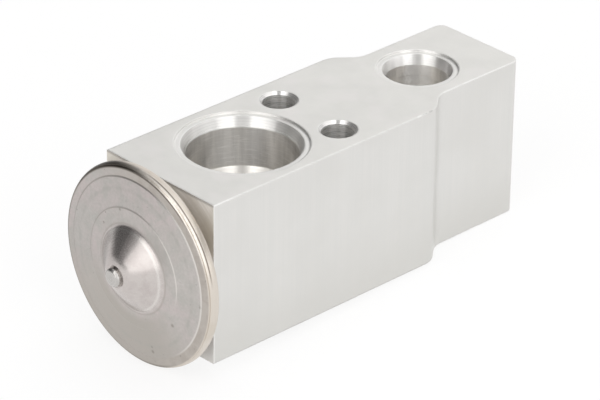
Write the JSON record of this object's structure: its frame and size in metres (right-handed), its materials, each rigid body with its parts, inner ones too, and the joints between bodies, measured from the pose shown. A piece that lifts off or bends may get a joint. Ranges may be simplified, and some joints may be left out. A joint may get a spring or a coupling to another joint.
{
  "type": "thermostatic expansion valve",
  "caption": "Block-type thermostatic expansion valve: stepped aluminium block with suction and liquid ports, two fixing holes and a round diaphragm power head.",
  "frame": {"origin": "midway between the two fixing holes, on the upper port face", "axes": "+X along the stem from the power head towards the narrow tail, +Z out of the upper port face, +Y across the block so that the block is the same on both sides"},
  "size_m": [0.0753, 0.0314, 0.0314],
  "materials": {
    "drawn_aluminium": "satin, fine drawn lines on the sides, milled port faces",
    "stainless_sheet": "satin pressed sheet with a tinted weld bead",
    "turned_steel": "turned",
    "spring_steel": "bright drawn",
    "green_rubber": "matte",
    "turned_brass": "turned",
    "turned_aluminium": "turned",
    "polished_steel": "polished",
    "plated_steel": "zinc plated"
  },
  "bodies": {
    "housing": {"block": "drawn_aluminium", "upper_cover": "stainless_sheet", "lower_cover": "stainless_sheet", "mounting_neck": "turned_steel", "charge_plug": "turned_steel", "diaphragm": "spring_steel", "head_o_ring": "green_rubber", "rod_o_ring": "green_rubber", "seal_retainer": "spring_steel", "valve_seat": "turned_steel", "coil_spring": "spring_steel"},
    "valve_train": {"stopper_disc": "turned_brass", "sensing_rod": "turned_aluminium", "push_rod": "polished_steel", "ball": "polished_steel", "ball_holder": "turned_brass", "damping_spring": "spring_steel"},
    "screw_carriage": {"screw_o_ring": "green_rubber"},
    "adjusting_screw": {"adjusting_screw": "plated_steel"}
  },
  "joints": [
    {"name": "valve_lift", "type": "slide", "parent": "housing", "child": "valve_train", "axis": [1, 0, 0], "range_m": [0, 0.0008], "stiffness_N_per_m": 6000, "springref_m": -0.004, "deforming": ["coil_spring", "diaphragm"]},
    {"name": "screw_travel", "type": "slide", "parent": "housing", "child": "screw_carriage", "axis": [1, 0, 0], "range_m": [-0.001, 0.001], "deforming": ["coil_spring"]},
    {"name": "screw_turn", "type": "hinge", "parent": "screw_carriage", "child": "adjusting_screw", "pos_m": [0.0335, 0, -0.013], "axis": [1, 0, 0], "range_deg": [-360, 360]}
  ],
  "couplings": [
    {"joint": "screw_travel", "follows": "screw_turn", "m_per_rad": 0.00015915}
  ]
}
